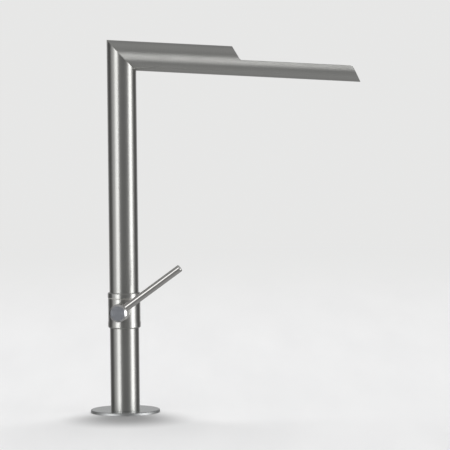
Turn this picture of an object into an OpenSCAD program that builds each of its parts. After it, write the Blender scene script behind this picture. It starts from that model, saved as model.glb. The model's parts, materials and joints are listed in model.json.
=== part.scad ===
// Fountain tap: a tall swivel tap of round tube with a sharp mitred corner, a spout that opens
// into a channel, and a quarter-turn valve worked by a rod lever on the side of its collar.
// The origin is the centre of the base disc's underside. +Z is up and the spout points along +X.

/* [Tube] */
// Outer diameter of the column and of the spout
tube_d = 32; // [31:0.5:36]
// Wall of the column and of the spout
tube_wall = 1.5; // [1:0.1:1.8]

/* [Spout] */
// Height at which the spout's axis meets the column's axis
spout_axis_z = 392; // [320:1:460]
// Distance from the column's axis to the lip, the spout's lowest point
spout_reach = 261; // [200:1:320]
// Fall of the spout towards its lip, in degrees
spout_fall = 3.4; // [0:0.1:8]
// Distance from the column's axis to the top of the slanted step
step_reach = 121; // [90:1:150]
// Slant of the step from the upright, in degrees
step_slant = 34; // [20:1:45]
// Height of the channel's rims above the spout's axis
rim_rise = 1.3; // [0:0.1:5]
// Slant of the lip from the upright, in degrees
lip_slant = 30; // [0:1:45]
// Radius of the cut at the foot of the step and at the ends of the rims
cut_corner_r = 3; // [1:0.5:6]

/* [Base] */
// Diameter of the base disc
flange_d = 76; // [66:1:90]
// Thickness of the base disc
flange_t = 3; // [2.5:0.5:6]
// Chamfer on the disc's top edge
flange_edge = 0.6; // [0.2:0.1:1]
// Mean diameter of the flat seal under the disc
seal_mean_d = 58; // [50:1:60]
// Width of the flat seal
seal_w = 4; // [2:0.5:6]
// Thickness of the flat seal
seal_t = 1.5; // [1:0.1:1.8]
// Height of the plug in the column's foot
plug_h = 22; // [18:1:30]
// Drilled diameter of the hose thread in the plug
hose_drill_d = 9; // [8:0.1:9.2]
// Length of the hose thread
hose_thread_len = 12; // [8:0.5:13]
// Drilled diameter of the fixing stud's thread
stud_drill_d = 6.8; // [5:0.1:7]
// Length of the fixing stud's thread
stud_thread_len = 15; // [10:0.5:16]
// Distance from the tube's bore to the axis of the stud's thread
stud_edge = 8.5; // [6.5:0.5:9]
// Distance from the tube's bore to the axis of the inlet way
inlet_edge = 5.5; // [5.2:0.1:6]
// Outer diameter of the riser pipe
riser_d = 8; // [7:0.5:8]
// Wall of the riser pipe
riser_wall = 1; // [0.8:0.1:1.5]

/* [Collar] */
// How far the collar stands out from the tube
collar_out = 1.7; // [1.5:0.1:4]
// Height of the collar's foot above the deck
collar_foot_z = 93; // [70:1:160]
// Height of the collar
collar_h = 32.6; // [30:0.1:40]
// Height of the hub's axis above the collar's foot
hub_rise = 19; // [18.5:0.1:20]
// Depth of the socket that takes the lower column
socket_depth = 8; // [5:0.5:8.5]
// Height of the raised band at the collar's foot
band_h = 7; // [3:0.5:8]
// How far the raised band stands out
band_rise = 0.3; // [0.1:0.1:0.8]
// Bevel under the raised band
band_bevel = 1.5; // [0.5:0.1:1.6]
// Turn of the hub's axis from the front towards the left, in degrees
hub_turn = 9.5; // [0:0.5:30]
// How far the side boss stands out from the collar
boss_out = 2.3; // [1.9:0.1:4.3]
// Radius of the main water way
way_r = 3; // [2.5:0.1:3.2]

/* [Swivel] */
// Height of the turning ring on top of the collar
ring_h = 5.5; // [5:0.1:8]
// How far the turning ring stands out from the tube
ring_out = 2.1; // [2:0.1:4.5]
// Chamfer on the turning ring's top edge
ring_edge = 0.8; // [0.2:0.1:1]
// Thickness of the thrust washer under the turning ring
washer_t = 0.8; // [0.5:0.1:2]
// Height of the spigot that the upper part turns on
spigot_h = 32; // [28:1:40]
// Wall of the sleeve in the upper column's foot
sleeve_wall = 3.4; // [3:0.1:4]
// Radius of the water way up through the spigot
outlet_way_r = 5; // [3:0.5:6]
// Swivel to each side of the rest position, in degrees
swivel_each_way = 90; // [45:5:120]
// Diameter of the retaining screw
retainer_d = 4; // [3:0.5:4]
// Radial depth of the spigot's grooves
spigot_groove = 1.6; // [1:0.1:2]
// Axial width of the swivel's O-rings
swivel_seal_w = 2.2; // [2:0.1:3]

/* [Water pipe] */
// Outer diameter of the inner water pipe
pipe_d = 10; // [8:0.5:11]
// Wall of the inner water pipe
pipe_wall = 1; // [0.8:0.1:1.5]
// Bend radius of the elbow between the column and the spout
pipe_bend_r = 20; // [16:1:24]
// Depth of the elbow's sockets
elbow_socket = 8; // [5:0.5:12]
// Wall of the elbow
elbow_wall = 1.4; // [0.8:0.1:2]
// Distance from the step back to the flow straightener's face
setback = 9; // [5:1:30]
// Length of the flow straightener's body
straightener_len = 14; // [12:1:20]
// Diameter of the flow straightener's holes
flow_hole_d = 3; // [1.5:0.1:3.4]
// Distance between neighbouring holes
flow_pitch = 4.2; // [3.8:0.1:4.5]

/* [Valve] */
// Thread diameter of the valve insert
insert_d = 16; // [15.6:0.1:16.4]
// Distance behind the column's axis at which the insert seats
seat_back = 4; // [3:0.1:4]
// Diameter of the ceramic discs
disc_d = 12.8; // [12:0.1:13]
// Thickness of the fixed disc
fixed_disc_t = 3; // [2:0.1:3.2]
// Thickness of the moving disc
moving_disc_t = 2.6; // [2:0.1:3]
// Thickness of the seat seal
seat_seal_t = 1.5; // [1:0.1:2]
// Diameter of the spindle
spindle_d = 8; // [7:0.1:8.4]
// Quarter-turn of the valve, in degrees
valve_travel = 90; // [60:5:95]
// Lever angle above the horizontal at which the valve is shut
lever_shut = 0; // [-20:1:36]

/* [Lever] */
// Diameter of the hub
hub_d = 19.5; // [19:0.1:22]
// Length of the hub, from the side boss to the hub's face
hub_len = 17; // [15.5:0.1:22]
// Chamfer around the hub's face
hub_chamfer = 1.8; // [0.5:0.1:2.2]
// Diameter of the lever rod
rod_d = 8; // [6:0.1:8.4]
// Distance from the hub's axis to the rod's end
rod_reach = 84.5; // [60:0.5:120]
// Distance from the side boss to the rod's axis, along the hub
rod_out = 10; // [9.6:0.1:10.5]
// Diameter of the rod's threaded tenon
tenon_d = 5; // [4:0.1:5.4]
// Length of the rod's threaded tenon
tenon_len = 8; // [6:0.5:8.5]
// Depth of the rod's seat below the hub's turned surface
rod_sink = 0.5; // [0.2:0.1:1]
// Chamfer on the rod's end
rod_edge = 0.6; // [0.2:0.1:1]
// Angle of the lever above the horizontal at rest
lever_rest = 36; // [0:1:60]
// Diameter of the set screw in the hub
hub_screw_d = 4; // [3:0.1:4.4]

/* [Hidden] */
$fn = 96;

// Clearances
fixed_gap = 0.05;   // radial gap of brazed, pressed and screwed joints
running_gap = 0.05; // radial gap of turning fits
seal_gap = 0.02;    // gap between a seal and the walls that hold it
face_gap = 0.1;     // gap between faces that slide on each other
over = 1;           // how far a cut runs past the solid that it cuts

// Tube
tube_r = tube_d / 2;
bore_r = tube_r - tube_wall;
mitre_angle = 45 + spout_fall / 2;
bend_turn = 90 + spout_fall;

// Spout, along its own axis from the mitre
lip_u = (spout_reach + tube_r * sin(spout_fall)) / cos(spout_fall);
step_u = (step_reach - tube_r * sin(spout_fall)) / cos(spout_fall);
step_foot_u = step_u + (tube_r - rim_rise) * tan(step_slant);
rim_end_u = lip_u - (tube_r + rim_rise) * tan(lip_slant);

// Base
plug_r = bore_r - fixed_gap;
stud_offset = bore_r - stud_edge;
inlet_offset = bore_r - inlet_edge;
seal_in_r = (seal_mean_d - seal_w) / 2;
seal_out_r = (seal_mean_d + seal_w) / 2;
riser_r = riser_d / 2;
riser_seat = 5; // depth of the riser's sockets

// Collar
collar_r = tube_r + collar_out;
boss_reach = collar_r + boss_out;
collar_top_z = collar_foot_z + collar_h;
hub_axis_z = collar_foot_z + hub_rise;
socket_top_z = collar_foot_z + socket_depth;
insert_r = insert_d / 2;
chamber_r = insert_r + 1;   // annular chamber round the valve insert
chamber_back = -0.5;
chamber_front = 7;
seat_way_r = way_r - 0.5;   // cross drilling from the inlet way to the seat

// Swivel
sleeve_r = bore_r - fixed_gap;
sleeve_bore_r = sleeve_r - sleeve_wall;
spigot_r = sleeve_bore_r - running_gap;
spigot_groove_r = spigot_r - spigot_groove;
spigot_top_z = collar_top_z + spigot_h;
swivel_z = collar_top_z + washer_t + face_gap; // foot of all that turns with the spout
ring_r = tube_r + ring_out;
retainer_r = retainer_d / 2;
retainer_z = swivel_z + ring_h / 2;
retainer_slot_w = retainer_d + 2 * face_gap;
retainer_half_angle = asin((retainer_r + face_gap) / spigot_groove_r);
swivel_groove_angle = 2 * (swivel_each_way + retainer_half_angle);
groove_w = swivel_seal_w + 2 * face_gap;
lower_seal_z = retainer_z + retainer_r + 4.5;
upper_seal_z = spigot_top_z - 5;
sleeve_step_z = spigot_top_z + 2;   // top of the sleeve's bore
pipe_foot_z = sleeve_step_z + 4;
pipe_foot_len = 8;                  // depth of the sleeve's socket for the water pipe
sleeve_top_z = pipe_foot_z + pipe_foot_len;

// Water pipe
pipe_r = pipe_d / 2;
pipe_bore_r = pipe_r - pipe_wall;
bend_reach = pipe_bend_r * tan(bend_turn / 2);
elbow_lip = 1;                      // how far the elbow's sockets reach over its bend
face_u = step_u - setback;
plate_t = 4;                        // perforated plate of the flow straightener
straightener_u = face_u - straightener_len;
pipe_socket_len = 10;
pipe_end_u = straightener_u - fixed_gap;
pipe_seal_u = straightener_u - pipe_socket_len / 2;
pipe_seal_w = 1.8;
pipe_groove = 1.2;

// Valve, along the hub's axis from the column's axis
insert_back = -seat_back + 0.4;
insert_front = boss_reach - 1;
disc_r = disc_d / 2;
insert_bore_r = disc_r + fixed_gap;
seal_face = -seat_back + fixed_gap + seat_seal_t;
fixed_face = seal_face + fixed_gap + fixed_disc_t;
moving_face = fixed_face + moving_disc_t;
slot_depth = 1.2;
tang_w = 4;
tang_len = 2 * disc_r - 1.2;
drive_s = moving_face + 2.2;
drive_t = 1.2;
drive_r = disc_r - 0.2;
stop_s = drive_s + drive_t;
stop_t = 1.5;
stop_tab_angle = 80;
stop_slack = 1;
shoulder_s = stop_s + fixed_gap;
spindle_r = spindle_d / 2;
spindle_hole_r = spindle_r + running_gap;
insert_seal_s = shoulder_s + stop_t + 1.4;
insert_seal_w = 1.8;
insert_seal_r = insert_r - fixed_gap - 1;
spindle_seal_s = [insert_seal_s + 1.4, insert_seal_s + 4.4];
spindle_seal_w = 1.6;
spindle_groove_r = spindle_r - 1;
nose_len = 3;
clip_s = insert_front + face_gap;
clip_t = 0.8;
clip_in_r = spindle_r - 0.6;
clip_out_r = spindle_r + 1.4;
clip_mouth = 80;                    // open angle of the clip
port_count = 2;
port_half_angle = 40;
port_in_r = 1.6;
port_out_r = disc_r - 1.4;

// Lever
hub_r = hub_d / 2;
hub_washer_t = 0.5;
hub_back = boss_reach + hub_washer_t + face_gap;
rod_r = rod_d / 2;
hub_face = boss_reach + hub_len;
rod_plane = boss_reach + rod_out;
tenon_r = tenon_d / 2;
rod_seat = sqrt(hub_r * hub_r - rod_r * rod_r) - rod_sink;
spindle_end = rod_plane - tenon_r - 0.8;
hub_screw_r = hub_screw_d / 2;
hub_screw_s = (hub_back + spindle_end) / 2;
hub_screw_socket = 2;   // across flats
stop_start = lever_shut - stop_slack - stop_tab_angle / 2;
stop_span = valve_travel + stop_tab_angle + 2 * stop_slack;

steel = [0.72, 0.72, 0.70];
bright_steel = [0.80, 0.80, 0.79];
brass = [0.78, 0.66, 0.38];
rubber = [0.10, 0.10, 0.10];
nylon = [0.88, 0.87, 0.83];
ceramic = [0.95, 0.94, 0.90];
copper = [0.80, 0.50, 0.36];

// Moves to the valve: +Z along the hub's axis and away from the column, +Y up
module valve_frame() {
    translate([0, 0, hub_axis_z]) rotate([90, 0, -hub_turn]) children();
}

// Moves to the valve's own plan: +Y straight behind the hub
module valve_plan() {
    rotate([0, 0, -hub_turn]) children();
}

// Moves to the spout: +X along its axis from the mitre, +Z up across it
module spout_frame() {
    translate([0, 0, spout_axis_z]) rotate([0, spout_fall, 0]) children();
}

// A hollow cylinder with open ends
module pipe(r_out, r_in, length) {
    difference() {
        cylinder(r = r_out, h = length);
        translate([0, 0, -over]) cylinder(r = r_in, h = length + 2 * over);
    }
}

// A squeezed O-ring with round sides, centred on z = 0
module o_ring(r_in, r_out, width) {
    section_r = (r_out - r_in) / 2;
    straight = width - 2 * section_r;
    rotate_extrude() translate([r_in + section_r, 0]) {
        square([2 * section_r, straight], center = true);
        for (side = [-1, 1]) translate([0, side * straight / 2]) circle(r = section_r);
    }
}

// A ring-shaped cut that opens outwards, centred on z = 0
module outer_groove(r_floor, r_open, width) {
    translate([0, 0, -width / 2]) pipe(r_open, r_floor, width);
}

// A sector of a ring, swept from start degrees through span degrees
module sector(r_in, r_out, start, span, height) {
    rotate([0, 0, start]) rotate_extrude(angle = span)
        translate([r_in, 0]) square([r_out - r_in, height]);
}

// A set screw along +Z with a hexagon socket in its top
module set_screw(r, length, socket_w) {
    socket_r = socket_w / sqrt(3);
    difference() {
        cylinder(r = r, h = length);
        translate([0, 0, length / 2]) cylinder(r = socket_r, h = length, $fn = 6);
    }
}

// All that lies on the spout's side of the mitre
module beyond_mitre() {
    block = 3 * tube_d;
    translate([0, 0, spout_axis_z]) rotate([0, mitre_angle, 0])
        translate([-block, -block, 0]) cube([2 * block, 2 * block, block]);
}

// All that lies on the column's side of the mitre
module before_mitre() {
    block = 3 * tube_d;
    translate([0, 0, spout_axis_z]) rotate([0, mitre_angle, 0])
        translate([-block, -block, -block]) cube([2 * block, 2 * block, block]);
}

module base_flange() {
    flange_r = flange_d / 2;
    color(bright_steel) difference() {
        rotate_extrude() polygon([
            [0, 0], [flange_r, 0], [flange_r, flange_t - flange_edge],
            [flange_r - flange_edge, flange_t], [0, flange_t]
        ]);
        translate([0, 0, -over]) cylinder(r = tube_r + fixed_gap, h = flange_t + 2 * over);
        translate([0, 0, -over])
            pipe(seal_out_r + face_gap, seal_in_r - face_gap, seal_t + face_gap + over);
    }
}

module base_seal() {
    color(rubber) pipe(seal_out_r, seal_in_r, seal_t);
}

module foot_plug() {
    color(brass) valve_plan() difference() {
        cylinder(r = plug_r, h = plug_h);
        translate([0, inlet_offset, -over]) cylinder(d = hose_drill_d, h = hose_thread_len + over);
        translate([0, inlet_offset, 0]) cylinder(r = way_r, h = plug_h);
        translate([0, inlet_offset, plug_h - riser_seat])
            cylinder(r = riser_r + fixed_gap, h = riser_seat + over);
        translate([0, -stud_offset, -over]) cylinder(d = stud_drill_d, h = stud_thread_len + over);
    }
}

module riser_pipe() {
    foot = plug_h - riser_seat + face_gap;
    head = socket_top_z + riser_seat - face_gap;
    color(steel) valve_plan() translate([0, inlet_offset, foot])
        pipe(riser_r, riser_r - riser_wall, head - foot);
}

module lower_column() {
    color(steel) pipe(tube_r, bore_r, socket_top_z - face_gap);
}

// Outline of the collar, with the raised band and bevel at its foot
module collar_blank() {
    band_r = collar_r + band_rise;
    rotate_extrude() polygon([
        [0, collar_foot_z], [band_r - band_bevel, collar_foot_z],
        [band_r, collar_foot_z + band_bevel], [band_r, collar_foot_z + band_h],
        [collar_r, collar_foot_z + band_h], [collar_r, collar_top_z], [0, collar_top_z]
    ]);
}

// Grooves and water way of the spigot
module spigot_cuts() {
    for (z = [lower_seal_z, upper_seal_z])
        translate([0, 0, z]) outer_groove(spigot_groove_r, spigot_r + over, groove_w);
    translate([0, 0, retainer_z - retainer_slot_w / 2])
        sector(spigot_groove_r, spigot_r + over, 180 - swivel_groove_angle / 2,
               swivel_groove_angle, retainer_slot_w);
    translate([0, 0, hub_axis_z + (insert_r + chamber_r) / 2])
        cylinder(r = outlet_way_r, h = spigot_top_z - hub_axis_z);
}

// Bores for the valve insert and the water way that feeds its seat
module valve_cuts() {
    valve_frame() {
        translate([0, 0, -seat_back]) cylinder(r = insert_r, h = seat_back + boss_reach + over);
        translate([0, 0, chamber_back]) cylinder(r = chamber_r, h = chamber_front - chamber_back);
        translate([0, 0, -inlet_offset]) cylinder(r = seat_way_r, h = inlet_offset);
    }
    valve_plan() translate([0, inlet_offset, collar_foot_z]) {
        cylinder(r = riser_r + fixed_gap, h = socket_depth + riser_seat);
        cylinder(r = way_r, h = hub_rise + way_r + face_gap);
    }
}

module valve_body() {
    color(steel) difference() {
        union() {
            collar_blank();
            translate([0, 0, collar_top_z]) cylinder(r = spigot_r, h = spigot_h);
            valve_frame() cylinder(r = hub_r, h = boss_reach);
        }
        translate([0, 0, collar_foot_z - over])
            cylinder(r = tube_r + fixed_gap, h = socket_depth + over);
        spigot_cuts();
        valve_cuts();
    }
}

module thrust_washer() {
    color(nylon) translate([0, 0, collar_top_z])
        pipe(collar_r - 0.5, spigot_r + face_gap, washer_t);
}

// One of the two seals of the swivel
module spigot_oring(z) {
    color(rubber) translate([0, 0, z])
        o_ring(spigot_groove_r + seal_gap, sleeve_bore_r - seal_gap, swivel_seal_w);
}

module spigot_oring_lower() spigot_oring(lower_seal_z);

module spigot_oring_upper() spigot_oring(upper_seal_z);

// Brass insert of the quarter-turn valve, with two side windows and a hexagon nose
module headwork_body() {
    body_r = insert_r - fixed_gap;
    hexagon_s = insert_front - nose_len;
    window_s = fixed_face + 0.2;
    window_h = 1.4 * disc_r;
    color(brass) valve_frame() difference() {
        union() {
            translate([0, 0, insert_back]) cylinder(r = body_r, h = hexagon_s - insert_back);
            translate([0, 0, hexagon_s]) cylinder(r = body_r - 0.4, h = nose_len, $fn = 6);
        }
        translate([0, 0, insert_back - over])
            cylinder(r = insert_bore_r, h = shoulder_s - insert_back + over);
        translate([0, 0, shoulder_s - over])
            cylinder(r = spindle_hole_r, h = insert_front - shoulder_s + 2 * over);
        translate([0, 0, shoulder_s - over])
            sector(spindle_hole_r - over, drive_r, stop_start, stop_span, stop_t + over);
        translate([0, 0, insert_seal_s]) outer_groove(insert_seal_r, body_r + over, 2);
        translate([-insert_d, -window_h / 2, window_s])
            cube([2 * insert_d, window_h, drive_s - window_s]);
    }
}

module headwork_oring() {
    color(rubber) valve_frame() translate([0, 0, insert_seal_s])
        o_ring(insert_seal_r + seal_gap, insert_r - seal_gap, insert_seal_w);
}

module seat_seal() {
    color(rubber) valve_frame() translate([0, 0, -seat_back + fixed_gap])
        pipe(insert_bore_r - 2 * fixed_gap, way_r + 0.3, seat_seal_t);
}

// Two opposite ports through a ceramic disc
module disc_ports(turn) {
    for (port = [0:port_count - 1])
        translate([0, 0, -over])
            sector(port_in_r, port_out_r, turn + port * 360 / port_count - port_half_angle,
                   2 * port_half_angle, fixed_disc_t + moving_disc_t + 2 * over);
}

module fixed_disc() {
    color(ceramic) valve_frame() translate([0, 0, seal_face + fixed_gap]) difference() {
        cylinder(r = disc_r, h = fixed_disc_t);
        disc_ports(0);
    }
}

// Turns with the lever: its ports meet those of the fixed disc as the valve opens
module moving_disc() {
    color(ceramic) valve_frame() translate([0, 0, fixed_face]) rotate([0, 0, lever_rest])
        difference() {
            cylinder(r = disc_r, h = moving_disc_t);
            disc_ports(lever_shut + valve_travel);
            translate([-disc_r - over, -tang_w / 2, moving_disc_t - slot_depth])
                cube([2 * disc_r + 2 * over, tang_w, slot_depth + over]);
        }
}

module hub_washer() {
    color(nylon) valve_frame() translate([0, 0, boss_reach])
        pipe(hub_r - 0.3, insert_r + 0.2, hub_washer_t);
}

module spindle() {
    tang_s = moving_face - slot_depth + face_gap;
    color(brass) valve_frame() rotate([0, 0, lever_rest]) difference() {
        union() {
            intersection() {
                translate([-tang_len / 2, fixed_gap - tang_w / 2, tang_s])
                    cube([tang_len, tang_w - 2 * fixed_gap, drive_s - tang_s]);
                translate([0, 0, tang_s]) cylinder(r = drive_r, h = drive_s - tang_s);
            }
            translate([0, 0, drive_s]) cylinder(r = drive_r, h = drive_t);
            translate([0, 0, stop_s])
                sector(spindle_r - over, drive_r - 0.2, -stop_tab_angle / 2, stop_tab_angle,
                       stop_t - face_gap);
            translate([0, 0, stop_s]) cylinder(r = spindle_r, h = spindle_end - stop_s);
        }
        for (s = spindle_seal_s)
            translate([0, 0, s])
                outer_groove(spindle_groove_r, spindle_r + over, spindle_seal_w + face_gap);
        translate([0, 0, clip_s + clip_t / 2])
            outer_groove(clip_in_r, spindle_r + over, clip_t + face_gap);
    }
}

// One of the two seals of the spindle
module spindle_oring(s) {
    color(rubber) valve_frame() translate([0, 0, s])
        o_ring(spindle_groove_r + seal_gap, spindle_hole_r - seal_gap, spindle_seal_w);
}

module spindle_oring_inner() spindle_oring(spindle_seal_s[0]);

module spindle_oring_outer() spindle_oring(spindle_seal_s[1]);

// Open ring that holds the spindle in the insert
module spindle_clip() {
    color(steel) valve_frame() translate([0, 0, clip_s])
        sector(clip_in_r + seal_gap, clip_out_r, lever_rest + clip_mouth / 2,
               360 - clip_mouth, clip_t);
}

module hub() {
    color(steel) valve_frame() difference() {
        union() {
            translate([0, 0, hub_back]) cylinder(r = hub_r, h = hub_face - hub_chamfer - hub_back);
            translate([0, 0, hub_face - hub_chamfer])
                cylinder(r1 = hub_r, r2 = hub_r - hub_chamfer, h = hub_chamfer);
        }
        translate([0, 0, hub_back - over])
            cylinder(r = spindle_r + fixed_gap, h = spindle_end + face_gap - hub_back + over);
        translate([0, 0, rod_plane]) rotate([0, 90, lever_rest]) {
            translate([0, 0, rod_seat]) cylinder(r = rod_r + fixed_gap, h = hub_r);
            translate([0, 0, rod_seat - tenon_len - face_gap])
                cylinder(r = tenon_r + fixed_gap, h = tenon_len + hub_r);
        }
        translate([0, 0, hub_screw_s]) rotate([90, 0, 0])
            cylinder(r = hub_screw_r + fixed_gap, h = hub_r + over);
    }
}

// Set screw under the hub that clamps it on the spindle
module hub_screw() {
    length = hub_r - spindle_r - 0.7;
    color(steel) valve_frame() translate([0, -spindle_r - face_gap, hub_screw_s])
        rotate([90, 0, 0]) set_screw(hub_screw_r, length, hub_screw_socket);
}

module lever_rod() {
    color(bright_steel) valve_frame() translate([0, 0, rod_plane]) rotate([0, 90, lever_rest]) {
        translate([0, 0, rod_seat + fixed_gap])
            cylinder(r = rod_r, h = rod_reach - rod_edge - rod_seat - fixed_gap);
        translate([0, 0, rod_reach - rod_edge])
            cylinder(r1 = rod_r, r2 = rod_r - rod_edge, h = rod_edge);
        translate([0, 0, rod_seat - tenon_len]) cylinder(r = tenon_r, h = tenon_len + over);
    }
}

// Hole for the retaining screw, from the back into the spigot's groove
module retainer_hole() {
    translate([0, 0, retainer_z]) rotate([0, -90, 0])
        cylinder(r = retainer_r + fixed_gap, h = 2 * ring_r);
}

module swivel_ring() {
    color(steel) difference() {
        rotate_extrude() polygon([
            [0, swivel_z], [ring_r, swivel_z], [ring_r, swivel_z + ring_h - ring_edge],
            [ring_r - ring_edge, swivel_z + ring_h], [0, swivel_z + ring_h]
        ]);
        translate([0, 0, swivel_z - over]) cylinder(r = tube_r + fixed_gap, h = ring_h + 2 * over);
        retainer_hole();
    }
}

module swivel_sleeve() {
    color(brass) difference() {
        translate([0, 0, swivel_z]) cylinder(r = sleeve_r, h = sleeve_top_z - swivel_z);
        translate([0, 0, swivel_z - over])
            cylinder(r = sleeve_bore_r, h = sleeve_step_z - swivel_z + over);
        translate([0, 0, swivel_z]) cylinder(r = pipe_bore_r, h = sleeve_top_z - swivel_z);
        translate([0, 0, pipe_foot_z])
            cylinder(r = pipe_r + fixed_gap, h = sleeve_top_z - pipe_foot_z + over);
        retainer_hole();
    }
}

module retaining_screw() {
    tip_r = spigot_groove_r + face_gap;
    color(steel) translate([-tip_r, 0, retainer_z]) rotate([0, -90, 0])
        set_screw(retainer_r, ring_r - 0.3 - tip_r, hub_screw_socket);
}

module upper_column() {
    color(steel) difference() {
        translate([0, 0, swivel_z])
            pipe(tube_r, bore_r, spout_axis_z + 2 * tube_r - swivel_z);
        beyond_mitre();
        retainer_hole();
    }
}

// Side view of what is cut away above the channel and past the lip, along X and up Y
module channel_cut_outline() {
    far = lip_u + tube_d;
    high = tube_r + over;
    step_top_u = step_foot_u - (high - rim_rise) * tan(step_slant);
    foot_tangent = cut_corner_r * tan(45 - step_slant / 2);
    rim_tangent = cut_corner_r * tan(45 - lip_slant / 2);
    lip_low_u = lip_u + over * tan(lip_slant);
    difference() {
        polygon([
            [step_top_u, high], [step_foot_u, rim_rise], [rim_end_u, rim_rise],
            [lip_low_u, -high], [far, -high], [far, high]
        ]);
        polygon([
            [step_foot_u, rim_rise],
            [step_foot_u + foot_tangent, rim_rise],
            [step_foot_u + foot_tangent, rim_rise + cut_corner_r],
            [step_foot_u - foot_tangent * sin(step_slant),
             rim_rise + foot_tangent * cos(step_slant)]
        ]);
    }
    translate([step_foot_u + foot_tangent, rim_rise + cut_corner_r]) circle(r = cut_corner_r);
    difference() {
        polygon([
            [rim_end_u, rim_rise + over], [rim_end_u, rim_rise],
            [rim_end_u - rim_tangent, rim_rise], [rim_end_u - rim_tangent, rim_rise - cut_corner_r],
            [rim_end_u + rim_tangent * sin(lip_slant), rim_rise - rim_tangent * cos(lip_slant)],
            [rim_end_u + rim_tangent, rim_rise]
        ]);
        translate([rim_end_u - rim_tangent, rim_rise - cut_corner_r]) circle(r = cut_corner_r);
    }
}

module spout() {
    color(steel) difference() {
        spout_frame() translate([-2 * tube_r, 0, 0]) rotate([0, 90, 0])
            pipe(tube_r, bore_r, lip_u + 3 * tube_r);
        before_mitre();
        spout_frame() rotate([90, 0, 0]) linear_extrude(height = 2 * tube_d, center = true)
            channel_cut_outline();
    }
}

// Moves to the start of the pipe's bend, in the upright plane of the spout
module bend_frame() {
    translate([pipe_bend_r, 0, spout_axis_z - bend_reach]) rotate([90, 0, 0]) children();
}

// Part of a ring of round section that turns from the column to the spout
module bend(r, extra_angle) {
    bend_frame() rotate([0, 0, 180 - bend_turn - extra_angle])
        rotate_extrude(angle = bend_turn + 2 * extra_angle)
            translate([pipe_bend_r, 0]) circle(r = r);
}

// Straight pipe from the sleeve up to the elbow
module water_pipe() {
    foot = pipe_foot_z + face_gap;
    color(copper) translate([0, 0, foot])
        pipe(pipe_r, pipe_bore_r, spout_axis_z - bend_reach - face_gap - foot);
}

// Bent fitting with a socket at each end
module water_elbow() {
    bend_z = spout_axis_z - bend_reach;
    socket_hole_r = pipe_r + fixed_gap;
    socket_out_r = socket_hole_r + elbow_wall;
    color(copper) difference() {
        union() {
            bend(pipe_bore_r + elbow_wall, 0);
            translate([0, 0, bend_z - elbow_socket])
                cylinder(r = socket_out_r, h = elbow_socket + elbow_lip);
            spout_frame() translate([bend_reach - elbow_lip, 0, 0]) rotate([0, 90, 0])
                cylinder(r = socket_out_r, h = elbow_socket + elbow_lip);
        }
        bend(pipe_bore_r, 1);
        translate([0, 0, bend_z - elbow_socket - over])
            cylinder(r = socket_hole_r, h = elbow_socket + over);
        spout_frame() translate([bend_reach, 0, 0]) rotate([0, 90, 0])
            cylinder(r = socket_hole_r, h = elbow_socket + over);
    }
}

// Straight pipe from the elbow to the flow straightener
module spout_pipe() {
    start_u = bend_reach + face_gap;
    color(copper) spout_frame() translate([start_u, 0, 0]) rotate([0, 90, 0])
        pipe(pipe_r, pipe_bore_r, pipe_end_u - start_u);
}

// Plug behind the step with a socket for the pipe, a chamber and a plate of round holes
module flow_straightener() {
    socket_r = pipe_r + fixed_gap;
    color(nylon) spout_frame() translate([straightener_u, 0, 0]) rotate([0, 90, 0]) difference() {
        union() {
            cylinder(r = sleeve_r, h = straightener_len);
            translate([0, 0, -pipe_socket_len]) cylinder(r = pipe_r + 3, h = pipe_socket_len);
        }
        translate([0, 0, -pipe_socket_len - over])
            cylinder(r = socket_r, h = pipe_socket_len + over);
        translate([0, 0, pipe_seal_u - straightener_u])
            cylinder(r = pipe_r + pipe_groove, h = pipe_seal_w + face_gap, center = true);
        translate([0, 0, -over]) cylinder(r = pipe_bore_r, h = straightener_len - plate_t + over);
        translate([0, 0, 3]) cylinder(r = sleeve_r - 2, h = straightener_len - plate_t - 3);
        cylinder(d = flow_hole_d, h = straightener_len + over);
        for (ring = [1, 2], side = [0:5], step = [0:ring - 1])
            rotate([0, 0, 60 * side]) translate([
                flow_pitch * (ring - step / 2), flow_pitch * step * sin(60), 0
            ]) cylinder(d = flow_hole_d, h = straightener_len + over);
    }
}

module pipe_seal() {
    color(rubber) spout_frame() translate([pipe_seal_u, 0, 0]) rotate([0, 90, 0])
        o_ring(pipe_r + seal_gap, pipe_r + pipe_groove - seal_gap, pipe_seal_w);
}

base_flange();
base_seal();
foot_plug();
riser_pipe();
lower_column();
valve_body();
thrust_washer();
spigot_oring_lower();
spigot_oring_upper();
headwork_body();
headwork_oring();
seat_seal();
fixed_disc();
hub_washer();
spindle();
spindle_oring_inner();
spindle_oring_outer();
spindle_clip();
moving_disc();
hub();
hub_screw();
lever_rod();
swivel_ring();
swivel_sleeve();
retaining_screw();
upper_column();
spout();
water_pipe();
water_elbow();
spout_pipe();
flow_straightener();
pipe_seal();
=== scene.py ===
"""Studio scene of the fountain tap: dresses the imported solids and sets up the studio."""

import json
import logging
import math
from dataclasses import dataclass
from enum import Enum
from typing import Any, Callable, Iterable, Union

import bpy
from mathutils import Matrix, Vector

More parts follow.
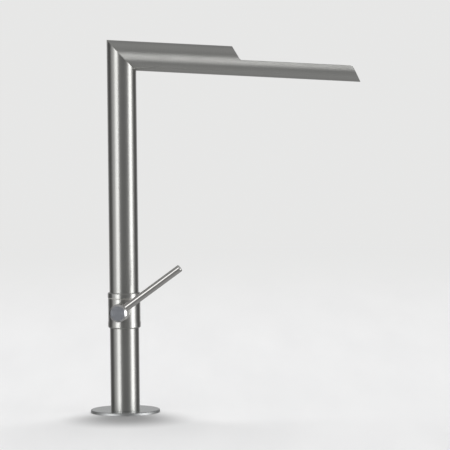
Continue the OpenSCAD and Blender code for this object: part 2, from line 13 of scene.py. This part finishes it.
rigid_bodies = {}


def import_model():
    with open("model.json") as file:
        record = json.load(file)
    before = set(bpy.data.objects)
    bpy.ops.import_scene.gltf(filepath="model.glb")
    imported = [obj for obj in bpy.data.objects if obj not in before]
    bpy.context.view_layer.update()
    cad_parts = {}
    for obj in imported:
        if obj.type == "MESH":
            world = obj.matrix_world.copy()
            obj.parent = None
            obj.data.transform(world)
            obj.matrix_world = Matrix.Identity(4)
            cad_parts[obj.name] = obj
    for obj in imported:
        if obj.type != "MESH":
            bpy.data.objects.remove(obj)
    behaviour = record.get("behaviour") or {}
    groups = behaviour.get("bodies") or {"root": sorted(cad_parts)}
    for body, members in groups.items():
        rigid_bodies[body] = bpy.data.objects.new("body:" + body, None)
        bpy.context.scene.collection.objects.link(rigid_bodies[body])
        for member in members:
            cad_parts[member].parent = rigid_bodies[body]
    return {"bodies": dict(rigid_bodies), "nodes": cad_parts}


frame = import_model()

LOG = logging.getLogger("fountain_tap")
MM = 0.001
Colour = tuple[float, float, float]


# Shader maths


class Signal:
    """A number socket in shader maths: an expression on it adds Math nodes."""

    def __init__(self, graph: "Graph", socket: bpy.types.NodeSocket) -> None:
        """Wrap a socket.

        Args:
            graph: The graph that the socket belongs to.
            socket: An output socket that gives one number.
        """
        self.graph = graph
        self.socket = socket

    def math(self, operation: str, *values: "Number") -> "Signal":
        """Add one Math node.

        Args:
            operation: The Math node's operation.
            values: Its inputs, in order.

        Returns:
            The node's result.
        """
        made = self.graph.node("ShaderNodeMath", {"operation": operation}, dict(enumerate(values)))
        return Signal(self.graph, made.outputs[0])

    def __add__(self, other: "Number") -> "Signal":
        """Sum."""
        return self.math("ADD", self, other)

    def __radd__(self, other: "Number") -> "Signal":
        """Sum, number first."""
        return self.math("ADD", other, self)

    def __sub__(self, other: "Number") -> "Signal":
        """Difference."""
        return self.math("SUBTRACT", self, other)

    def __rsub__(self, other: "Number") -> "Signal":
        """Difference, number first."""
        return self.math("SUBTRACT", other, self)

    def __mul__(self, other: "Number") -> "Signal":
        """Product."""
        return self.math("MULTIPLY", self, other)

    def __rmul__(self, other: "Number") -> "Signal":
        """Product, number first."""
        return self.math("MULTIPLY", other, self)

    def __neg__(self) -> "Signal":
        """Negative."""
        return self.math("MULTIPLY", self, -1.0)

    def between(self, low: float, high: float) -> "Signal":
        """Rise smoothly from 0 at low to 1 at high.

        Args:
            low: Where the rise starts.
            high: Where it ends.

        Returns:
            The step, from 0 to 1.
        """
        made = self.graph.node(
            "ShaderNodeMapRange",
            {"interpolation_type": "SMOOTHSTEP"},
            {"Value": self, "From Min": low, "From Max": high},
        )
        return Signal(self.graph, made.outputs["Result"])


Number = Union[Signal, float, int]


class Graph:
    """A node tree with one way to add nodes."""

    def __init__(self, tree: bpy.types.NodeTree) -> None:
        """Start an empty tree."""
        self.tree = tree
        tree.nodes.clear()

    def node(
        self,
        kind: str,
        settings: dict[str, Any] | None = None,
        inputs: dict[str | int, Any] | None = None,
    ) -> bpy.types.Node:
        """Add a node.

        Args:
            kind: The node's type.
            settings: What is set on the node first; stops holds a ramp's places and colours.
            inputs: A value, a socket or a signal for each of its sockets.

        Returns:
            The node.
        """
        made = self.tree.nodes.new(kind)
        for name, value in (settings or {}).items():
            if name == "stops":
                self._ramp(made.color_ramp, value)
            else:
                setattr(made, name, value)
        for key, value in (inputs or {}).items():
            socket = made.inputs[key]
            if isinstance(value, Signal):
                self.tree.links.new(value.socket, socket)
            elif isinstance(value, bpy.types.NodeSocket):
                self.tree.links.new(value, socket)
            elif socket.type == "RGBA" and len(value) == 3:
                socket.default_value = (*value, 1.0)
            else:
                socket.default_value = value
        return made

    @staticmethod
    def _ramp(ramp: bpy.types.ColorRamp, stops: list[tuple[float, float]]) -> None:
        """Set a ramp's stops.

        Args:
            ramp: The ramp.
            stops: Place and grey level of each stop, in order.
        """
        while len(ramp.elements) > 1:
            ramp.elements.remove(ramp.elements[-1])
        ramp.elements[0].position = stops[0][0]
        for place, _ in stops[1:]:
            ramp.elements.new(place)
        for element, (_, level) in zip(ramp.elements, stops):
            element.color = (level, level, level, 1.0)

    def signal(self, node: bpy.types.Node, output: str | int = 0) -> Signal:
        """Wrap a node's output."""
        return Signal(self, node.outputs[output])

    def blend(self, factor: Number, first: Any, second: Any) -> bpy.types.NodeSocket:
        """Mix two colours.

        Args:
            factor: 0 for the first, 1 for the second.
            first: Colour or socket.
            second: Colour or socket.

        Returns:
            The mixed colour's socket.
        """
        made = self.node("ShaderNodeMix", {"data_type": "RGBA"}, {0: factor, 6: first, 7: second})
        return made.outputs[2]

    def noise(self, vector: Any, scale: float, detail: float = 2.0, roughness: float = 0.5) -> Signal:
        """Add a noise texture.

        Args:
            vector: Its coordinates.
            scale: Its scale.
            detail: Its number of octaves.
            roughness: How strong the finer octaves are.

        Returns:
            Noise around 0.5.
        """
        made = self.node(
            "ShaderNodeTexNoise",
            {},
            {"Vector": vector, "Scale": scale, "Detail": detail, "Roughness": roughness},
        )
        return Signal(self, made.outputs["Fac"])


# Places shared with the solids


@dataclass(frozen=True)
class Spindle:
    """A line that a piece was turned or drawn about."""

    point: Colour
    direction: Colour

    def coordinates(self, graph: Graph) -> bpy.types.NodeSocket:
        """Give Object coordinates with Z along this line and the line at X = Y = 0.

        Args:
            graph: The graph that gets the nodes.

        Returns:
            The coordinates' socket.
        """
        turn = Vector(self.direction).rotation_difference(Vector((0.0, 0.0, 1.0)))
        centre = turn @ Vector(self.point)
        source = graph.node("ShaderNodeTexCoord").outputs["Object"]
        mapping = graph.node(
            "ShaderNodeMapping",
            {"vector_type": "POINT"},
            {"Vector": source, "Location": -centre, "Rotation": turn.to_euler("XYZ")},
        )
        return mapping.outputs["Vector"]


SPOUT_FALL = math.radians(3.4)
HUB_TURN = math.radians(9.5)
LEVER_REST = math.radians(36.0)
SPOUT_AXIS_Z = 392.0 * MM
HUB_AXIS_Z = 112.0 * MM
ROD_PLANE = 30.0 * MM

HUB_OUT = Vector((-math.sin(HUB_TURN), -math.cos(HUB_TURN), 0.0))
HUB_SIDE = Vector((math.cos(HUB_TURN), -math.sin(HUB_TURN), 0.0))
ROD_OUT = HUB_SIDE * math.cos(LEVER_REST) + Vector((0.0, 0.0, math.sin(LEVER_REST)))
HUB_CENTRE = Vector((0.0, 0.0, HUB_AXIS_Z))

COLUMN_LINE = Spindle((0.0, 0.0, 0.0), (0.0, 0.0, 1.0))
SPOUT_LINE = Spindle((0.0, 0.0, SPOUT_AXIS_Z), (math.cos(SPOUT_FALL), 0.0, -math.sin(SPOUT_FALL)))
HUB_LINE = Spindle(tuple(HUB_CENTRE), tuple(HUB_OUT))
ROD_LINE = Spindle(tuple(HUB_CENTRE + HUB_OUT * ROD_PLANE), tuple(ROD_OUT))


# Finishes


class Brushing(Enum):
    """How the belt or the lathe tool marked a metal surface."""

    ROUND = "scratches run round the line"
    FACE = "rings lie on a flat face across the line"
    ALONG = "scratches run along the line"


class Blur(Enum):
    """Turn of the longest blur from the piece's own tangent, as a share of a full turn."""

    WITH_TANGENT = 0.0
    ACROSS_TANGENT = 0.25


@dataclass(frozen=True)
class Steel:
    """A brushed, turned or polished metal."""

    name: str
    colour: Colour
    line: Spindle
    brushing: Brushing
    roughness: float
    anisotropy: float = 0.0
    blur: Blur = Blur.WITH_TANGENT
    scratch_width: float = 0.35 * MM
    scratch_length: float = 14.0 * MM
    scratch_depth: float = 0.02 * MM
    tint_swing: float = 0.06
    roughness_swing: float = 0.05
    cloud_size: float = 30.0 * MM

    def material(self) -> bpy.types.Material:
        """Build the material.

        Returns:
            The finished material.
        """
        made = bpy.data.materials.new(self.name)
        made.use_nodes = True
        graph = Graph(made.node_tree)
        place = self.line.coordinates(graph)
        parts = graph.node("ShaderNodeSeparateXYZ", {}, {0: place})
        x, y, z = (graph.signal(parts, i) for i in range(3))
        across, along = 1.0 / self.scratch_width, 1.0 / self.scratch_length
        if self.brushing is Brushing.ROUND:
            spread = (along, along, across)
        elif self.brushing is Brushing.ALONG:
            spread = (across, across, along)
        else:
            radius = (x * x + y * y).math("SQRT", x * x + y * y)
            place = graph.node(
                "ShaderNodeCombineXYZ", {}, {0: radius, 1: x * 0.2, 2: y * 0.2}
            ).outputs[0]
            spread = (across, along, along)
        stretched = graph.node(
            "ShaderNodeVectorMath", {"operation": "MULTIPLY"}, {0: place, 1: spread}
        ).outputs[0]
        scratches = graph.noise(stretched, 1.0, 4.0, 0.6)
        clouds = graph.noise(place, 1.0 / self.cloud_size, 2.0, 0.5)
        light = tuple(min(1.0, c * (1.0 + self.tint_swing)) for c in self.colour)
        dark = tuple(c * (1.0 - self.tint_swing) for c in self.colour)
        colour = graph.blend((scratches * 1.6 + clouds * 0.8 - 0.7), dark, light)
        roughness = self.roughness + (scratches - 0.5) * self.roughness_swing * 1.2
        roughness = roughness + (clouds - 0.5) * self.roughness_swing
        bump = graph.node(
            "ShaderNodeBump", {}, {"Height": scratches, "Strength": 1.0, "Distance": self.scratch_depth}
        )
        shader = graph.node(
            "ShaderNodeBsdfPrincipled",
            {},
            {
                "Base Color": colour,
                "Metallic": 1.0,
                "Roughness": roughness,
                "Normal": bump.outputs["Normal"],
                "Anisotropic": self.anisotropy,
                "Anisotropic Rotation": self.blur.value,
            },
        )
        graph.node("ShaderNodeOutputMaterial", {}, {"Surface": shader.outputs[0]})
        return made


@dataclass(frozen=True)
class Moulded:
    """Rubber, plastic or ceramic: a matt body with fine grain."""

    name: str
    colour: Colour
    roughness: float
    grain_size: float = 0.4 * MM
    grain_depth: float = 0.01 * MM
    tint_swing: float = 0.08

    def material(self) -> bpy.types.Material:
        """Build the material.

        Returns:
            The finished material.
        """
        made = bpy.data.materials.new(self.name)
        made.use_nodes = True
        graph = Graph(made.node_tree)
        place = graph.node("ShaderNodeTexCoord").outputs["Object"]
        grain = graph.noise(place, 1.0 / self.grain_size, 3.0, 0.6)
        clouds = graph.noise(place, 1.0 / (12.0 * MM), 2.0, 0.5)
        light = tuple(min(1.0, c * (1.0 + self.tint_swing)) for c in self.colour)
        dark = tuple(c * (1.0 - self.tint_swing) for c in self.colour)
        colour = graph.blend(clouds, dark, light)
        bump = graph.node(
            "ShaderNodeBump", {}, {"Height": grain, "Strength": 1.0, "Distance": self.grain_depth}
        )
        shader = graph.node(
            "ShaderNodeBsdfPrincipled",
            {},
            {
                "Base Color": colour,
                "Roughness": self.roughness + (grain - 0.5) * 0.15,
                "Normal": bump.outputs["Normal"],
            },
        )
        graph.node("ShaderNodeOutputMaterial", {}, {"Surface": shader.outputs[0]})
        return made


STEEL = (0.62, 0.62, 0.60)
TUBE_UP = Steel("brushed_tube_upright", STEEL, COLUMN_LINE, Brushing.ROUND, 0.40, 0.95, Blur.ACROSS_TANGENT)
TUBE_OUT = Steel("brushed_tube_spout", STEEL, SPOUT_LINE, Brushing.ROUND, 0.40, 0.95)
TURNED_UP = Steel("turned_collar", STEEL, COLUMN_LINE, Brushing.ROUND, 0.36, 0.95, Blur.ACROSS_TANGENT)
TURNED_HUB = Steel("turned_hub", STEEL, HUB_LINE, Brushing.ROUND, 0.36, 0.9)
# Hub front face: the turned rings are real; its darker, bluish colour is painted shade.
HUB_FACE_WITH_PAINTED_SHADE = Steel(
    "turned_hub_face_with_painted_shade", (0.46, 0.48, 0.52), HUB_LINE, Brushing.FACE, 0.16,
    scratch_width=0.4 * MM, scratch_depth=0.05 * MM,
)
BRIGHT_DISC = Steel("bright_base_disc", (0.68, 0.70, 0.70), COLUMN_LINE, Brushing.FACE, 0.22)
BRIGHT_ROD = Steel(
    "bright_rod", (0.70, 0.69, 0.67), ROD_LINE, Brushing.ALONG, 0.14, scratch_depth=0.004 * MM
)
# Base disc's side faces: rougher than its top; their darker colour is painted shade.
RIM_WITH_PAINTED_SHADE = Steel("turned_rim_with_painted_shade", (0.55, 0.56, 0.56), COLUMN_LINE, Brushing.ROUND, 0.50)
# Hub chamfer: smoother than the hub, and its lighter colour is a painted highlight.
CHAMFER_WITH_PAINTED_HIGHLIGHT = Steel("chamfer_with_painted_highlight", (0.72, 0.72, 0.72), HUB_LINE, Brushing.ROUND, 0.2)
DARK_STEEL = Steel("machined_screw", (0.32, 0.32, 0.33), COLUMN_LINE, Brushing.ROUND, 0.35)
BRASS = Steel("turned_brass", (0.78, 0.58, 0.27), COLUMN_LINE, Brushing.ROUND, 0.32)
COPPER = Steel("drawn_copper", (0.80, 0.43, 0.30), COLUMN_LINE, Brushing.ALONG, 0.30)
RUBBER = Moulded("moulded_rubber", (0.03, 0.03, 0.03), 0.75)
NYLON = Moulded("moulded_nylon", (0.74, 0.72, 0.67), 0.50)
CERAMIC = Moulded("lapped_ceramic", (0.82, 0.80, 0.75), 0.22, grain_depth=0.002 * MM)


class Workshop:
    """Gives each finish one material and puts it on the pieces."""

    def __init__(self) -> None:
        """Start with no material made."""
        self.made: dict[str, bpy.types.Material] = {}

    def material(self, finish: Steel | Moulded) -> bpy.types.Material:
        """Give the material of a finish, built once."""
        if finish.name not in self.made:
            self.made[finish.name] = finish.material()
        return self.made[finish.name]

    def dress(
        self,
        piece: bpy.types.Object,
        finish: Steel | Moulded,
        *zones: tuple[Steel | Moulded, Callable[[bpy.types.MeshPolygon], bool]],
    ) -> None:
        """Put one finish on a piece, and others on some of its faces.

        Args:
            piece: The piece.
            finish: The finish of most of it.
            zones: Other finishes, each with a test that picks its faces.
        """
        piece.data.materials.clear()
        piece.data.materials.append(self.material(finish))
        for other, _ in zones:
            piece.data.materials.append(self.material(other))
        for face in piece.data.polygons:
            picked = [number for number, (_, test) in enumerate(zones, 1) if test(face)]
            face.material_index = picked[0] if picked else 0

    @staticmethod
    def set_tangent(piece: bpy.types.Object, direction: Vector) -> None:
        """Make the piece's own tangent run along a level direction.

        Args:
            piece: A piece that keeps no live modifier.
            direction: The direction, with no rise.
        """
        far = 1000.0
        piece.data.use_auto_texspace = False
        piece.data.texspace_size = (far / 2.0, far / 2.0, far / 2.0)
        piece.data.texspace_location = (-direction.y * far, direction.x * far, 0.0)


# Sub-assemblies


@dataclass
class SubAssembly:
    """What the sub-assemblies share."""

    workshop: Workshop

    def node(self, name: str) -> bpy.types.Object:
        """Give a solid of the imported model."""
        return frame["nodes"][name]

    def dress_nodes(self, finish: Steel | Moulded, names: Iterable[str]) -> None:
        """Put one finish on several solids."""
        for name in names:
            self.workshop.dress(self.node(name), finish)

    def report(self, names: Iterable[str]) -> None:
        """Write one line for each piece."""
        for name in names:
            LOG.info("%s: %s", type(self).__name__, name)


@dataclass
class Foot(SubAssembly):
    """Base disc, its seal, the plug and the lower column."""

    def build(self) -> None:
        """Dress the foot."""
        # The disc's side faces take the darker colour, which is painted shade.
        self.workshop.dress(
            self.node("base_flange"), BRIGHT_DISC, (RIM_WITH_PAINTED_SHADE, lambda face: abs(face.normal.z) < 0.9)
        )
        self.dress_nodes(TUBE_UP, ["lower_column"])
        self.dress_nodes(RUBBER, ["base_seal"])
        self.dress_nodes(BRASS, ["foot_plug", "riser_pipe"])
        self.report(["base_flange", "base_seal", "foot_plug", "riser_pipe", "lower_column"])


@dataclass
class Collar(SubAssembly):
    """Turned collar with the swivel's washer and seals."""

    def build(self) -> None:
        """Dress the collar."""
        self.dress_nodes(TURNED_UP, ["valve_body"])
        self.dress_nodes(NYLON, ["thrust_washer"])
        self.dress_nodes(RUBBER, ["spigot_oring_lower", "spigot_oring_upper"])
        self.report(["valve_body", "thrust_washer", "spigot_oring_lower", "spigot_oring_upper"])


@dataclass
class Headwork(SubAssembly):
    """Quarter-turn valve inside the side boss."""

    def build(self) -> None:
        """Dress the valve."""
        self.dress_nodes(BRASS, ["headwork_body", "spindle"])
        self.dress_nodes(
            RUBBER, ["headwork_oring", "seat_seal", "spindle_oring_inner", "spindle_oring_outer"]
        )
        self.dress_nodes(CERAMIC, ["fixed_disc", "moving_disc"])
        self.dress_nodes(NYLON, ["hub_washer"])
        self.dress_nodes(DARK_STEEL, ["spindle_clip"])
        self.report(["headwork_body", "spindle", "fixed_disc", "moving_disc", "hub_washer"])


@dataclass
class Lever(SubAssembly):
    """Hub with its rod."""

    hub_face: float = 37.0 * MM

    def on_face(self, face: bpy.types.MeshPolygon) -> bool:
        """Say whether a face lies on the hub's flat front."""
        return face.normal.dot(HUB_OUT) > 0.99 and face.center.dot(HUB_OUT) > self.hub_face - 0.1 * MM

    def on_chamfer(self, face: bpy.types.MeshPolygon) -> bool:
        """Say whether a face lies on the chamfer round the hub's front."""
        slanted = 0.5 < face.normal.dot(HUB_OUT) < 0.9
        return slanted and face.center.dot(HUB_OUT) > self.hub_face - 2.0 * MM

    def build(self) -> None:
        """Dress the lever."""
        hub = self.node("hub")
        # The hub's front face takes a colour with painted shade, its chamfer a colour with a painted
        # highlight.
        self.workshop.dress(hub, TURNED_HUB, (HUB_FACE_WITH_PAINTED_SHADE, self.on_face), (CHAMFER_WITH_PAINTED_HIGHLIGHT, self.on_chamfer))
        self.workshop.set_tangent(hub, HUB_OUT)
        self.dress_nodes(BRIGHT_ROD, ["lever_rod"])
        self.dress_nodes(DARK_STEEL, ["hub_screw"])
        self.report(["hub", "lever_rod", "hub_screw"])


@dataclass
class SpoutArm(SubAssembly):
    """All that swivels: ring, sleeve, upper column, spout and water way."""

    def build(self) -> None:
        """Dress the arm."""
        self.dress_nodes(TURNED_UP, ["swivel_ring"])
        self.dress_nodes(TUBE_UP, ["upper_column"])
        self.dress_nodes(TUBE_OUT, ["spout"])
        self.workshop.set_tangent(self.node("spout"), Vector((1.0, 0.0, 0.0)))
        self.dress_nodes(BRASS, ["swivel_sleeve"])
        self.dress_nodes(COPPER, ["water_pipe", "water_elbow", "spout_pipe"])
        self.dress_nodes(NYLON, ["flow_straightener"])
        self.dress_nodes(RUBBER, ["pipe_seal"])
        self.dress_nodes(DARK_STEEL, ["retaining_screw"])
        self.report(["swivel_ring", "upper_column", "spout", "swivel_sleeve", "flow_straightener"])


# Studio


@dataclass
class Studio:
    """Camera, floor and light."""

    aim: Colour = (111.5 * MM, 0.0, 205.1 * MM)
    distance: float = 3.4
    rise: float = math.radians(3.71)
    side: float = 0.0
    roll: float = math.radians(-0.54)
    lens: float = 248.0
    floor_size: float = 60.0
    backdrop: Colour = (0.80, 0.80, 0.795)
    top_light: float = 2.8
    top_light_rise: float = math.radians(48.0)
    top_light_spread: float = math.radians(60.0)
    floor_fade: tuple[float, float] = (0.5, 2.5)
    # Painted shadow: a soft darker patch painted into the floor's colour in front of the foot.
    shade_centre: Colour = (4.0 * MM, -62.0 * MM, 0.0)
    shade_reach: Colour = (82.0 * MM, 92.0 * MM, 1.0)
    shade_depth: float = 0.5

    def camera(self) -> None:
        """Place the camera at the photo's viewing angle."""
        data = bpy.data.cameras.new("view")
        data.lens = self.lens
        data.sensor_width = 36.0
        data.clip_end = 200.0
        eye = bpy.data.objects.new("view", data)
        bpy.context.scene.collection.objects.link(eye)
        back = Vector((
            math.sin(self.side) * math.cos(self.rise),
            -math.cos(self.side) * math.cos(self.rise),
            math.sin(self.rise),
        ))
        right = (-back).cross(Vector((0.0, 0.0, 1.0))).normalized()
        up = back.cross(right)
        across = right * math.cos(self.roll) + up * math.sin(self.roll)
        upward = up * math.cos(self.roll) - right * math.sin(self.roll)
        turn = Matrix((across, upward, back)).transposed().to_4x4()
        eye.matrix_world = Matrix.Translation(Vector(self.aim) + back * self.distance) @ turn
        bpy.context.scene.camera = eye

    def floor(self) -> None:
        """Lay the pale floor, with a shadow painted into its colour in front of the foot."""
        bpy.ops.object.select_all(action="DESELECT")
        bpy.ops.mesh.primitive_plane_add(size=self.floor_size)
        floor = bpy.context.object
        floor.name = "floor"
        made = bpy.data.materials.new("pale_floor")
        made.use_nodes = True
        graph = Graph(made.node_tree)
        place = graph.node("ShaderNodeTexCoord").outputs["Object"]
        squeezed = graph.node(
            "ShaderNodeVectorMath", {"operation": "MULTIPLY"}, {0: place, 1: (1.0, 0.14, 1.0)}
        ).outputs[0]
        clouds = graph.noise(squeezed, 14.0, 3.0, 0.5)
        lit = graph.blend(clouds, (0.80, 0.80, 0.805), (0.88, 0.88, 0.88))
        # Painted shadow: the floor's colour darkens towards the middle of an ellipse in front of the foot.
        offset = graph.node(
            "ShaderNodeVectorMath", {"operation": "SUBTRACT"}, {0: place, 1: self.shade_centre}
        ).outputs[0]
        shared = graph.node(
            "ShaderNodeVectorMath", {"operation": "DIVIDE"}, {0: offset, 1: self.shade_reach}
        ).outputs[0]
        from_foot = graph.node("ShaderNodeVectorMath", {"operation": "LENGTH"}, {0: shared})
        shade = self.shade_depth * (1.0 - graph.signal(from_foot, "Value").between(0.1, 1.0))
        colour = graph.blend(shade, lit, (0.0, 0.0, 0.0))
        shader = graph.node(
            "ShaderNodeBsdfPrincipled",
            {},
            {"Base Color": colour, "Roughness": 0.9, "Specular IOR Level": 0.0},
        )
        distance = graph.node("ShaderNodeVectorMath", {"operation": "LENGTH"}, {0: place})
        far_off = graph.signal(distance, "Value").between(*self.floor_fade)
        camera = graph.signal(graph.node("ShaderNodeLightPath"), "Is Camera Ray")
        backdrop = graph.node("ShaderNodeEmission", {}, {"Color": self.backdrop, "Strength": 1.0})
        seen = graph.node(
            "ShaderNodeMixShader",
            {},
            {0: far_off * camera, 1: shader.outputs[0], 2: backdrop.outputs[0]},
        )
        graph.node("ShaderNodeOutputMaterial", {}, {"Surface": seen.outputs[0]})
        floor.data.materials.append(made)
        floor.visible_glossy = False

    def surroundings(self) -> None:
        """Light the object from a dark room with two soft boxes, pale behind and below."""
        world = bpy.data.worlds.new("studio")
        bpy.context.scene.world = world
        world.use_nodes = True
        graph = Graph(world.node_tree)
        way = graph.node("ShaderNodeTexCoord").outputs["Generated"]
        parts = graph.node("ShaderNodeSeparateXYZ", {}, {0: way})
        x, y, z = (graph.signal(parts, i) for i in range(3))
        heading = x.math("ARCTAN2", x, -y) * (0.5 / math.pi) + 0.5
        top = 5.0
        round_about = [
            (-180, 0.5), (-152, 0.5), (-140, 0.26), (-128, 0.06), (-122, 0.03), (-98, 0.06),
            (-88, 0.5), (-78, 0.8), (-66, 1.0), (-58, 2.4), (-50, 3.1), (-42, 3.6), (-35, 3.0),
            (-28, 0.7), (-20, 0.25), (-10, 0.15), (0, 0.1), (20, 0.1), (38, 0.3), (49, 1.0),
            (58, 3.4), (66, 4.2), (75, 4.0), (83, 1.8), (92, 0.6), (104, 0.15), (118, 0.04),
            (134, 0.08), (142, 0.26), (152, 0.5), (180, 0.5),
        ]
        ramp = graph.node(
            "ShaderNodeValToRGB",
            {"stops": [(0.5 + a / 360.0, level / top) for a, level in round_about]},
            {0: heading},
        )
        level_zone = z.between(-0.60, -0.10) * (1.0 - z.between(0.05, 0.55))
        beyond = 0.22 + 0.15 * (z * z)
        walls = graph.node(
            "ShaderNodeVectorMath", {"operation": "SCALE"}, {0: ramp.outputs[0], "Scale": top}
        ).outputs[0]
        around = graph.blend(level_zone, beyond, walls)
        camera = graph.signal(graph.node("ShaderNodeLightPath"), "Is Camera Ray")
        seen = graph.blend(camera, around, self.backdrop)
        light = graph.node("ShaderNodeBackground", {}, {"Color": seen, "Strength": 1.0})
        graph.node("ShaderNodeOutputWorld", {}, {"Surface": light.outputs[0]})

    def lamp(self) -> None:
        """Hang the broad light behind and above, which throws the soft shadow forwards."""
        data = bpy.data.lights.new("top_light", "SUN")
        data.energy = self.top_light
        data.angle = self.top_light_spread
        lamp = bpy.data.objects.new("top_light", data)
        bpy.context.scene.collection.objects.link(lamp)
        towards = Vector((0.0, math.cos(self.top_light_rise), math.sin(self.top_light_rise)))
        lamp.rotation_mode = "QUATERNION"
        lamp.rotation_quaternion = towards.to_track_quat("Z", "Y")
        lamp.visible_glossy = False

    def build(self) -> None:
        """Set up the studio."""
        bpy.context.scene.view_settings.view_transform = "Standard"
        self.camera()
        self.floor()
        self.surroundings()
        self.lamp()
        LOG.info("Studio: camera, floor, surroundings and lamp")


def clear_start_objects() -> None:
    """Remove what the start-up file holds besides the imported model."""
    kept = set(frame["nodes"].values()) | set(frame["bodies"].values())
    for thing in list(bpy.data.objects):
        if thing not in kept:
            bpy.data.objects.remove(thing)


def main() -> None:
    """Build the sub-assemblies in order and set up the studio."""
    logging.basicConfig(level=logging.INFO, format="%(message)s")
    clear_start_objects()
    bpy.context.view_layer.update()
    workshop = Workshop()
    for part in (Foot, Collar, Headwork, Lever, SpoutArm):
        part(workshop).build()
    Studio().build()


if __name__ == "__main__":
    main()
